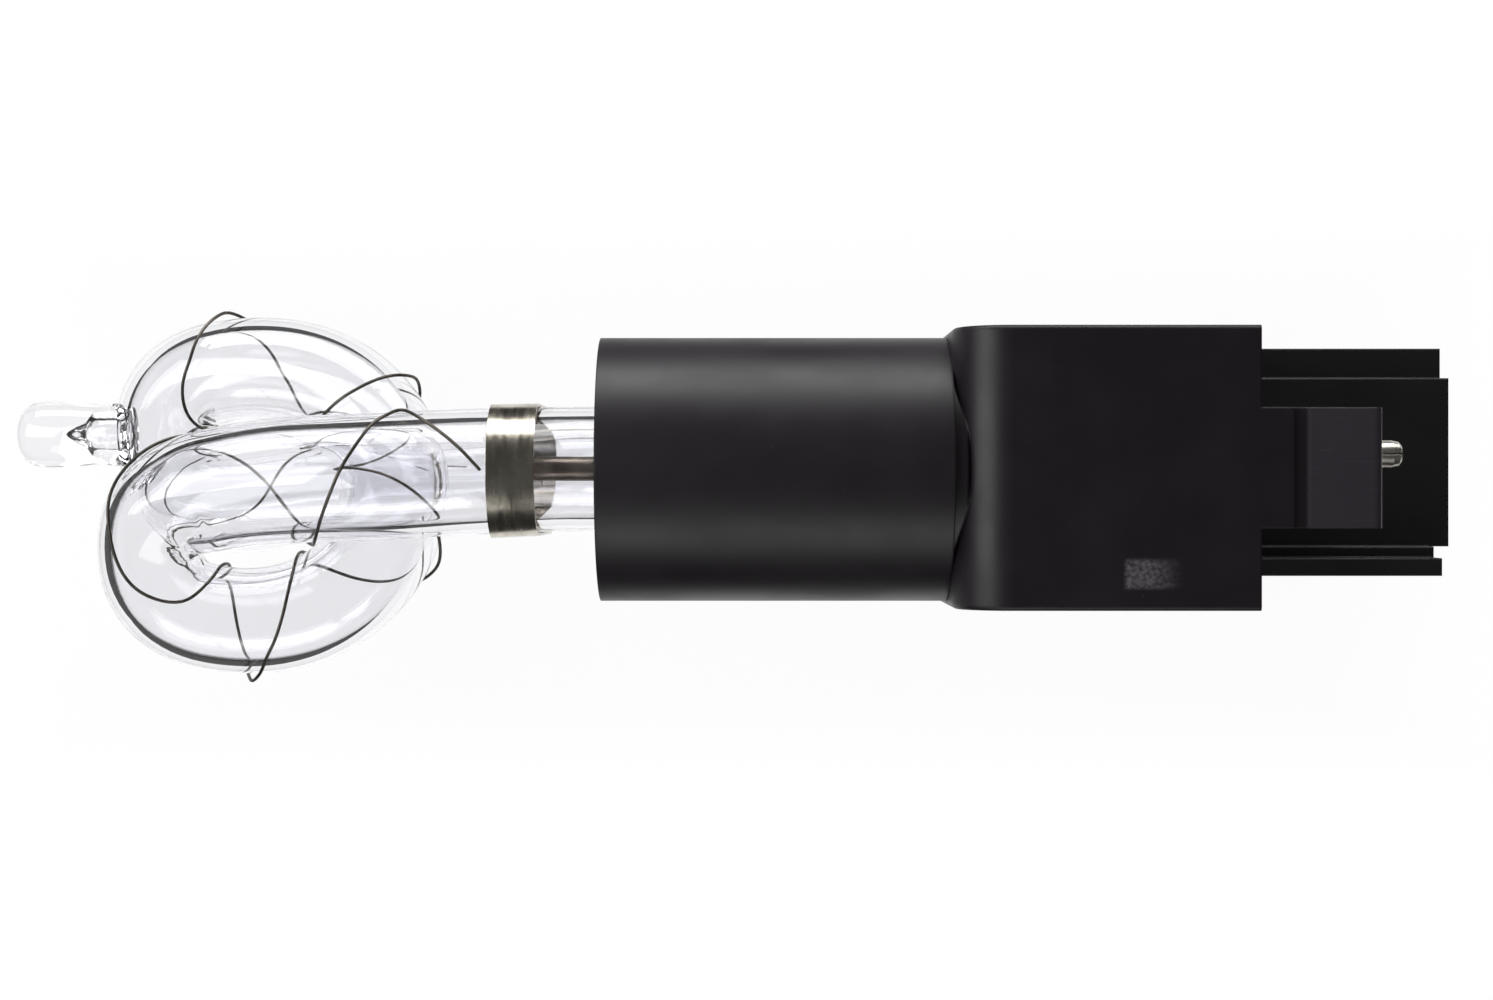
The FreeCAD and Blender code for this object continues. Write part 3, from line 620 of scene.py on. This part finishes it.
@dataclass
class GlassCoil:
    """The blown tube: two legs, two hairpins, one ring and the tipped-off nib. Millimetres."""

    material: bpy.types.Material
    barrel_length: float = 27.5
    leg_diameter: float = 9.7
    ring_diameter: float = 8.4
    hairpin_diameter: float = 8.0
    wall: float = 1.0
    leg_spacing: float = 9.8
    leg_inner_length: float = 17.0
    crossing_gap: float = 0.25
    ring_centre: tuple[float, float] = (-54.2, -1.9)
    ring_radii: tuple[float, float] = (10.2, 9.9)
    hairpin_radius: float = 5.0
    front_hairpin: tuple[float, float] = (-57.2, -6.75)
    rear_hairpin: tuple[float, float] = (-58.7, 2.95)
    coil_pitch: float = 15.6
    nib_diameter: float = 5.4
    nib_neck: float = 4.9
    nib_length: float = 8.6
    nib_pinch: float = 0.02
    rod_radius: float = 0.58
    seal_taper: float = 3.4
    seal_neck: float = 2.0

    # Stations along a leg, as shares of its straight run and of its lean towards the ring
    straight_shares: tuple[float, ...] = (0.0, 0.3, 0.6, 0.8, 0.92, 1.0, 1.06)
    leaning_shares: tuple[float, ...] = (0.38, 0.67, 1.0)
    # How far the leg has sagged towards the hairpin's height, at the ring and half way on
    lean_sag: float = 0.37
    lean_sag_power: float = 1.6
    approach_sag: float = 0.52
    approach_dip: float = 0.4
    # The hairpin: the share of the leg's extra width left at each eighth of a turn, and the
    # share of the half pitch that each eighth comes down
    turn_swells: tuple[float, ...] = (0.85, 0.45, 0.0, 0.05, 0.15)
    turn_drop: float = 0.135
    # The ring's stations, and the share of the half pitch left at the first of them
    ring_degrees: tuple[float, ...] = (70, 45, 22)
    ring_rise: float = 0.35

    rings_along: int = 300
    points_round: int = 48
    line: SmoothLine = field(init=False)
    radii: np.ndarray = field(init=False)

    def __post_init__(self) -> None:
        """Lay the centre line through both halves' stations."""
        far_right = (self.ring_centre[0] + self.ring_radii[0], self.ring_centre[1], 0.0,
                     self.ring_diameter / 2)
        stations = np.array(self.half(Side.FRONT) + [far_right] + self.half(Side.REAR)[::-1])
        self.line = SmoothLine(stations[:, :3], np.array([-1.0, 0, 0]), np.array([1.0, 0, 0]))
        self.radii = stations[:, 3]

    def half(self, side: Side) -> list[tuple[float, float, float, float]]:
        """Stations of one half, from its sealed end to the ring's far right.

        Args:
            side: the front leg, which turns down, or the rear one, which turns up.

        Returns:
            Each station's place and outer radius.
        """
        sign = side.value
        leg = self.leg_diameter / 2
        ring = self.ring_diameter / 2
        bend = self.hairpin_diameter / 2
        spread = self.leg_spacing / 2
        height = leg + ring + self.crossing_gap
        pitch = self.coil_pitch / 2
        mouth = -self.barrel_length
        end = self.leg_inner_length + mouth
        ring_x, ring_y = self.ring_centre
        wide, tall = self.ring_radii
        right = ring_x + wide
        bend_x, bend_y = self.front_hairpin if side is Side.FRONT else self.rear_hairpin
        radius = self.hairpin_radius
        entry_y = bend_y + sign * radius

        # The leg in the barrel, then leaning out over the ring
        stations = [(end + (mouth - end) * share, 0.0, sign * spread, leg)
                    for share in self.straight_shares]
        for share in self.leaning_shares:
            sag = entry_y * self.lean_sag * share ** self.lean_sag_power
            lift = spread + (height - spread) * smooth_step(share)
            stations.append((mouth + (right - mouth) * share, sag, sign * lift, leg))
        stations.append(((right + bend_x) / 2, entry_y * self.approach_sag,
                         sign * (height - self.approach_dip), leg))

        # Round the hairpin in eighths of a turn, then back along the ring
        for step, swell in enumerate(self.turn_swells):
            angle = math.radians(90 + 45 * step) * sign
            stations.append((bend_x + radius * math.cos(angle), bend_y + radius * math.sin(angle),
                             sign * self.turn_level(step), bend + swell * (leg - bend)))
        for degrees in self.ring_degrees:
            angle = -sign * math.radians(degrees)
            level = pitch * self.ring_rise * degrees / self.ring_degrees[0]
            stations.append((ring_x + wide * math.cos(angle), ring_y + tall * math.sin(angle),
                             sign * level, ring))
        return stations

    def turn_level(self, step: int) -> float:
        """How far from the middle plane a hairpin is after some eighths of its turn."""
        return self.coil_pitch / 2 * (1 - self.turn_drop * step)

    @property
    def length(self) -> float:
        """Length of the centre line's chords."""
        return float(self.line.knots[-1])

    def radius_at(self, place: float) -> float:
        """Outer radius at a place along the centre line.

        Args:
            place: distance along the centre line.

        Returns:
            The radius in millimetres.
        """
        knots = self.line.knots
        i = int(np.clip(np.searchsorted(knots, place) - 1, 0, len(knots) - 2))
        share = smooth_step((place - knots[i]) / (knots[i + 1] - knots[i]))
        return float(self.radii[i] + (self.radii[i + 1] - self.radii[i]) * share)

    def surface(self, place: float, degrees: float, off: float) -> np.ndarray:
        """A point off the tube's outside.

        Args:
            place: distance along the centre line.
            degrees: 0 faces the front and 90 the coil's outer side.
            off: distance off the glass.

        Returns:
            The point in millimetres.
        """
        centre, along = self.line.at(place)
        side, front = section_axes(along, FRONT)
        radius = self.radius_at(place) + off
        angle = math.radians(degrees)
        return centre + front * radius * math.cos(angle) + side * radius * math.sin(angle)

    def rings(self, inset: float) -> list[np.ndarray]:
        """Rings of points all along the outside, or the inside for an inset.

        Args:
            inset: the wall's thickness for the inside, else 0.

        Returns:
            The rings in metres.
        """
        middle = [section_ring(*self.line.at(place), self.radius_at(place) - inset,
                               self.points_round)
                  for place in np.linspace(0.0, self.length, self.rings_along + 1)]
        taper = self.seal_profile(inset)
        start = [self.seal_ring(behind, radius, Side.FRONT) for behind, radius in taper[::-1]]
        end = [self.seal_ring(behind, radius, Side.REAR) for behind, radius in taper]
        return start + middle + end

    def seal_profile(self, inset: float) -> list[tuple[float, float]]:
        """Sections of a sealed end, where the leg closes in on the electrode's rod.

        Args:
            inset: the wall's thickness for the inside, else 0.

        Returns:
            How far behind the leg's end each section is, and its radius.
        """
        leg = self.leg_diameter / 2 - inset
        neck = self.rod_radius + (0.0 if inset else self.wall)
        reach = self.seal_taper - (self.wall if inset else 0.0)
        return [(reach * 0.5, leg * 0.86), (reach * 0.9, neck + (leg - neck) * 0.35),
                (reach, neck), (self.seal_taper + self.seal_neck, neck)]

    def seal_ring(self, behind: float, radius: float, side: Side) -> np.ndarray:
        """One ring of a sealed end.

        Args:
            behind: distance behind the leg's end.
            radius: the ring's radius.
            side: the leg that it closes.

        Returns:
            The ring in metres.
        """
        centre, along = self.line.at(0.0 if side is Side.FRONT else self.length)
        return section_ring(centre + np.array([behind, 0.0, 0.0]), along, radius,
                            self.points_round)

    def nib_rings(self, profile: tuple[tuple[float, float], ...]) -> list[np.ndarray]:
        """Rings of the stub left where the tube was tipped off, or of the hollow in it.

        Args:
            profile: shares of the stub's length from its root, each with a radius.

        Returns:
            The rings in metres.
        """
        bend_x, bend_y = self.rear_hairpin
        root = bend_x - self.hairpin_radius - self.hairpin_diameter / 2 + self.wall * 0.5
        level = -self.turn_level(2)
        outwards = np.array([-1.0, 0.0, 0.0])
        return [section_ring(np.array([root - self.nib_length * share, bend_y, level]), outwards,
                             radius, self.points_round) for share, radius in profile]

    def nib_profiles(self) -> tuple[tuple[tuple[float, float], ...], ...]:
        """The stub's outside, with its shallow neck and rounded tip, and its tapered hollow.

        Returns:
            Two profiles, each of shares of the stub's length with a radius.
        """
        outer = self.nib_diameter / 2
        neck = self.nib_neck / 2
        pinch = self.nib_pinch
        stub = ((0.0, pinch), (0.0, outer * 0.95), (0.10, neck * 1.04), (0.20, neck),
                (0.34, outer * 0.95), (0.5, outer * 0.99), (0.72, outer), (0.84, outer * 0.95),
                (0.91, outer * 0.82), (0.96, outer * 0.6), (0.985, outer * 0.3), (0.99, pinch))
        hollow = ((0.02, pinch), (0.02, 1.3), (0.14, 1.15), (0.27, 1.35), (0.33, 0.75),
                  (0.42, 0.5), (0.50, 0.18), (0.52, pinch))
        return stub, hollow

    def build(self) -> bpy.types.Object:
        """Make the tube with its inside, and the nib, as one piece of glass.

        Returns:
            The piece that stands for the glass tube.
        """
        outside, outer_faces = tube_mesh(self.rings(0.0), closed_ends=False)
        inside, inner_faces = tube_mesh(self.rings(self.wall), closed_ends=False)
        shift = len(outside)
        faces = [face[::-1] for face in outer_faces]
        faces += [tuple(i + shift for i in face) for face in inner_faces]

        # Join the outside to the inside at both sealed ends
        count = self.points_round
        for first in (0, len(outside) - count):
            for j in range(count):
                k = (j + 1) % count
                strip = (first + j, first + k, shift + first + k, shift + first + j)
                faces.append(strip if first == 0 else strip[::-1])

        stub, bore = self.nib_profiles()
        nib, nib_faces = tube_mesh(self.nib_rings(stub))
        hollow, hollow_faces = tube_mesh(self.nib_rings(bore))
        base = len(outside) + len(inside)
        faces += [tuple(i + base for i in face) for face in nib_faces]
        first_hollow = len(faces)
        faces += [tuple(i + base + len(nib) for i in face) for face in hollow_faces]
        piece = make_object("coiled_glass_tube", np.concatenate([outside, inside, nib, hollow]),
                            faces, self.material, first_hollow)
        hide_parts("glass_tube")
        return piece


@dataclass
class TriggerWire:
    """Fine wire wound along the tube in one helix. Millimetres.

    Each place is a share of the tube's length outside the barrel, a winding angle in degrees and
    a lift off the glass where the wire spans a gap. The angle turns one way from the third place
    on.
    """

    coil: GlassCoil
    material: bpy.types.Material
    diameter: float = 0.26
    clearance: float = 0.06
    full_lift: float = 0.4
    step_degrees: float = 15
    points_round: int = 10
    rings_per_point: int = 3
    upright: tuple[float, float, float] = (0.31, 0.17, 0.93)
    places: tuple[tuple[float, float, float], ...] = (
        (0.079, 0, 0), (0.100, 45, 0), (0.114, 80, 0), (0.128, 52, 0), (0.143, 5, 0),
        (0.155, -40, 0), (0.168, -92, 0), (0.205, -180, 0), (0.246, -275, 0),
        (0.272, -326, 0), (0.295, -348, 0), (0.318, -378, 0), (0.334, -415, 0),
        (0.346, -458, 0), (0.354, -540, 0), (0.364, -630, 0.4), (0.373, -680, 0.1),
        (0.391, -745, 0), (0.412, -812, 0), (0.436, -900, 0), (0.460, -990, 0.35),
        (0.492, -1080, 0), (0.520, -1170, 0), (0.530, -1260, 0), (0.540, -1350, 0.4),
        (0.546, -1425, 0), (0.554, -1495, 0), (0.578, -1530, 0), (0.612, -1620, 0),
        (0.634, -1710, 0.4), (0.646, -1785, 0), (0.664, -1848, 0), (0.685, -1885, 0),
        (0.712, -1975, 0), (0.745, -2065, 0), (0.785, -2155, 0), (0.825, -2245, 0),
        (0.870, -2310, 0), (0.925, -2340, 0))

    def route(self) -> list[np.ndarray]:
        """Points of the wire's middle line, a little off the glass.

        Returns:
            The points in millimetres.
        """
        off = self.diameter / 2 + self.clearance
        inside = self.coil.leg_inner_length
        outside = self.coil.length - 2 * inside
        points = []
        for place, following in zip(self.places, self.places[1:]):
            steps = max(2, int(abs(following[1] - place[1]) / self.step_degrees))
            for step in range(steps):
                share, angle, lift = (a + (b - a) * step / steps
                                      for a, b in zip(place, following))
                points.append(self.coil.surface(inside + outside * share, angle,
                                                off + lift * lift / self.full_lift))
        return points

    def build(self) -> bpy.types.Object:
        """Sweep a round section along the route.

        Returns:
            The piece that stands for the trigger wire.
        """
        points = np.array(self.route())
        start = points[1] - points[0]
        end = points[-1] - points[-2]
        line = SmoothLine(points, start / np.linalg.norm(start), end / np.linalg.norm(end))
        rings = [section_ring(*line.at(place), self.diameter / 2, self.points_round, self.upright)
                 for place in np.linspace(0, line.knots[-1], len(points) * self.rings_per_point)]
        vertices, faces = tube_mesh(rings)
        piece = make_object("wound_trigger_wire", vertices, faces, self.material)
        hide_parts("trigger_wire")
        return piece


# The black base and what shows of the metal

@dataclass
class PlugBase:
    """Barrel, block, connector insert and contact pins, dressed where they stand."""

    tube: BlackPlastic = BlackPlastic(name="black_tube_satin", roughness=0.44, grain_mm=0.2,
                                      grain_depth=0.12)
    # The block's latch tongue gets a painted highlight from X = 26.7 mm on
    block: BlackPlastic = BlackPlastic(name="black_moulding_satin",
                                       scuff=Scuff(left=13.0, right=17.4, low=-8.9, high=-7.2,
                                                   fade=14.2),
                                       painted_sheen_from=26.7)
    insert: BlackPlastic = BlackPlastic(name="black_insert_satin", colour="151316",
                                        speck_level=0.95)
    pin: BareMetal = BareMetal(name="tin_plated_rolled_brass", colour="d9d6cd", dull="a9a59b",
                               roughness=0.3, edge_mm=0.08)

    def build(self) -> None:
        """Dress each piece."""
        dress("barrel", self.tube.build())
        dress("housing", self.block.build())
        dress("connector_insert", self.insert.build())
        pin = self.pin.build()
        for node in ("pin_anode", "pin_trigger", "pin_cathode"):
            dress(node, pin)


@dataclass
class Fittings:
    """The clamp band, electrodes, leads, cement and the trigger transformer."""

    nickel: BareMetal = BareMetal(name="nickel_strip_rolled", colour="cfc9bb", dull="a49d90",
                                  roughness=0.22, stretch=(1.0, 0.12, 0.12), edge_mm=0.05)
    tungsten: BareMetal = BareMetal(name="tungsten_sintered", colour="8d8379", dull="5f564e",
                                    roughness=0.45)
    copper: BareMetal = BareMetal(name="copper_drawn", colour="c8784e", dull="8c5236",
                                  roughness=0.35)
    tin: BareMetal = BareMetal(name="tinned_crimp", colour="c9c7c0", dull="93918a")
    cement: ChalkyFill = ChalkyFill(name="ceramic_cement_set", colour="ece9e2", shade="cfcbc2")
    silicone: ChalkyFill = ChalkyFill(name="silicone_sleeve_extruded", colour="e4e0d6",
                                      shade="d3cec2", roughness=0.55, relief=0.1)
    ferrite: ChalkyFill = ChalkyFill(name="ferrite_sintered", colour="2c2c30", shade="1d1d20",
                                     roughness=0.6)
    nylon: ChalkyFill = ChalkyFill(name="nylon_bobbin_moulded", colour="dcd7c4", shade="cbc5b0",
                                   roughness=0.5, relief=0.15)

    def build(self) -> None:
        """Dress each piece."""
        groups = (
            (self.nickel, ("clamp_band", "trigger_lead")),
            (self.tungsten, ("anode", "cathode")),
            (self.copper, ("anode_lead", "cathode_lead", "primary_winding",
                           "secondary_winding")),
            (self.tin, ("anode_ferrule", "cathode_ferrule")),
            (self.cement, ("cement_plug",)),
            (self.silicone, ("anode_sleeve", "cathode_sleeve")),
            (self.ferrite, ("transformer_core",)),
            (self.nylon, ("transformer_bobbin",)))
        for finish, nodes in groups:
            material = finish.build()
            for node in nodes:
                dress(node, material)


# Studio

@dataclass(frozen=True)
class Softbox:
    """One soft light: where it stands and faces in millimetres, its size in metres, its watts."""

    name: str
    place: tuple[float, float, float]
    target: tuple[float, float, float]
    size: tuple[float, float]
    power: float

    def build(self) -> None:
        """Hang the light so that it faces its target."""
        lamp = bpy.data.lights.new(self.name, "AREA")
        lamp.shape = "RECTANGLE"
        lamp.size, lamp.size_y = self.size
        lamp.energy = self.power
        holder = bpy.data.objects.new(self.name, lamp)
        holder.location = Vector(self.place) * MM
        aim = Vector(self.target) * MM - holder.location
        holder.rotation_euler = aim.to_track_quat("-Z", "Y").to_euler()
        bpy.context.scene.collection.objects.link(holder)


@dataclass
class Studio:
    """White table, soft lights and the camera that looks straight down at the lamp.

    Lengths are in millimetres, apart from the table card's half sizes in metres. The floor
    slopes because the lamp rests on its coil and on the block's far edge.
    """

    frame_width_px: int = 1493
    millimetres_per_px: float = 0.08
    camera_height: float = 200.0
    nearest_seen: float = 10.0
    aim: tuple[float, float] = (-15.9, -2.44)
    sensor_mm: float = 36.0
    floor_slope: float = math.radians(2.6)
    coil_touch: float = -47.0
    card: tuple[float, float] = (0.072, 0.026)
    card_grain_mm: float = 2.0
    # Light goes through many walls of glass before it leaves the coil
    glass_bounces: int = 32
    gloss_bounces: int = 8
    see_through_bounces: int = 16
    softboxes: tuple[Softbox, ...] = (
        Softbox("top_softbox", (-15, 190, 28), (-15, 0, 0), (0.34, 0.09), 0.5),
        Softbox("left_softbox", (-170, 30, 150), (-10, 0, 0), (0.12, 0.16), 0.22),
        Softbox("lower_fill", (-30, -170, 110), (-15, 0, 0), (0.2, 0.1), 0.12))

    def build(self) -> None:
        """Set up the view, the table, the world and the lamps."""
        scene = bpy.context.scene
        scene.view_settings.view_transform = "Standard"
        scene.cycles.max_bounces = self.glass_bounces
        scene.cycles.transmission_bounces = self.glass_bounces
        scene.cycles.glossy_bounces = self.gloss_bounces
        scene.cycles.transparent_max_bounces = self.see_through_bounces
        self.place_camera()
        self.lay_floor()
        self.light_world()
        for softbox in self.softboxes:
            softbox.build()

    def place_camera(self) -> None:
        """Put the camera straight above, with the image's up along +Y."""
        camera = bpy.data.cameras.new("view")
        seen = self.frame_width_px * self.millimetres_per_px
        camera.sensor_width = self.sensor_mm
        camera.lens = self.sensor_mm * self.camera_height / seen
        camera.clip_start = self.nearest_seen * MM
        holder = bpy.data.objects.new("view", camera)
        holder.location = (self.aim[0] * MM, self.aim[1] * MM, self.camera_height * MM)
        bpy.context.scene.collection.objects.link(holder)
        bpy.context.scene.camera = holder

    def table_finish(self) -> bpy.types.Material:
        """White painted card, which turns as white as the background towards its rim.

        Returns:
            The finish for the table.
        """
        material, tree, output = fresh_material("white_table")
        grain = add_node(tree, "ShaderNodeMapRange", SMOOTH,
                         Span(0.3, 0.7).of(spots(tree, self.card_grain_mm)))
        tone = add_node(tree, "ShaderNodeMix", COLOURS, {
            0: grain.outputs["Result"], 6: linear("f7f7f7"), 7: linear("ffffff")})
        paint = add_node(tree, "ShaderNodeBsdfDiffuse", inputs={"Color": tone.outputs[2]})
        glow = add_node(tree, "ShaderNodeEmission",
                        inputs={"Color": linear("ffffff"), "Strength": 1.0})
        path = add_node(tree, "ShaderNodeLightPath")
        seen = add_node(tree, "ShaderNodeMath", MAXIMUM, {
            0: path.outputs["Is Camera Ray"], 1: path.outputs["Is Glossy Ray"]})
        seen = add_node(tree, "ShaderNodeMath", MAXIMUM, {
            0: seen.outputs[0], 1: path.outputs["Is Transmission Ray"]})
        place = add_node(tree, "ShaderNodeTexCoord")
        parts = add_node(tree, "ShaderNodeSeparateXYZ", inputs={0: place.outputs["Object"]})
        rim = 0.0
        for axis, reach in enumerate(self.card):
            size = add_node(tree, "ShaderNodeMath", {"operation": "ABSOLUTE"},
                            {0: parts.outputs[axis]})
            near = add_node(tree, "ShaderNodeMapRange", SMOOTH,
                            Span(reach * 0.6, reach * 0.98, 0.96, 1.0).of(size.outputs[0]))
            rim = add_node(tree, "ShaderNodeMath", MAXIMUM,
                           {0: rim, 1: near.outputs["Result"]}).outputs[0]
        share = add_node(tree, "ShaderNodeMath", MULTIPLY, {0: seen.outputs[0], 1: rim})
        mix = add_node(tree, "ShaderNodeMixShader",
                       inputs={0: share.outputs[0], 1: paint.outputs[0], 2: glow.outputs[0]})
        tree.links.new(mix.outputs[0], output.inputs["Surface"])
        return material

    def lay_floor(self) -> None:
        """Lay the table so that it touches the coil and the block's far edge."""
        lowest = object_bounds()[0][2]
        wide, deep = self.card
        mesh = bpy.data.meshes.new("table")
        mesh.from_pydata([(-wide, -deep, 0), (wide, -deep, 0), (wide, deep, 0),
                          (-wide, deep, 0)], [], [(0, 1, 2, 3)])
        mesh.materials.append(self.table_finish())
        table = bpy.data.objects.new("table", mesh)
        to_coil = (self.coil_touch - self.aim[0]) * MM
        table.location = (self.aim[0] * MM, self.aim[1] * MM,
                          lowest - to_coil * math.tan(self.floor_slope))
        table.rotation_euler = (0, -self.floor_slope, 0)
        bpy.context.scene.collection.objects.link(table)
        table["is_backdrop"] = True

    def light_world(self) -> None:
        """White where the camera looks, a soft studio with a darker horizon elsewhere."""
        world = bpy.data.worlds.new("studio")
        bpy.context.scene.world = world
        world.use_nodes = True
        tree = world.node_tree
        tree.nodes.clear()
        place = add_node(tree, "ShaderNodeTexCoord")
        parts = add_node(tree, "ShaderNodeSeparateXYZ", inputs={0: place.outputs["Generated"]})
        height = add_node(tree, "ShaderNodeMapRange", SMOOTH,
                          Span(0.0, 0.9, 0.03, 0.10).of(parts.outputs[2]))
        path = add_node(tree, "ShaderNodeLightPath")
        level = add_node(tree, "ShaderNodeMix", {"data_type": "FLOAT"},
                         {0: path.outputs["Is Camera Ray"], 2: height.outputs["Result"], 3: 1.0})
        glow = add_node(tree, "ShaderNodeBackground",
                        inputs={"Color": linear("ffffff"), "Strength": level.outputs[0]})
        output = add_node(tree, "ShaderNodeOutputWorld")
        tree.links.new(glow.outputs[0], output.inputs["Surface"])


def main() -> None:
    """Build and dress the lamp, then set up the studio."""
    logging.basicConfig(level=logging.INFO, format="%(name)s %(message)s")
    coil = GlassCoil(ClearGlass().build())
    coil.build()
    wire = BareMetal(name="trigger_wire_drawn", colour="6e6963", dull="4a4641", roughness=0.45)
    TriggerWire(coil, wire.build()).build()
    PlugBase().build()
    Fittings().build()
    Studio().build()


if __name__ == "__main__":
    main()
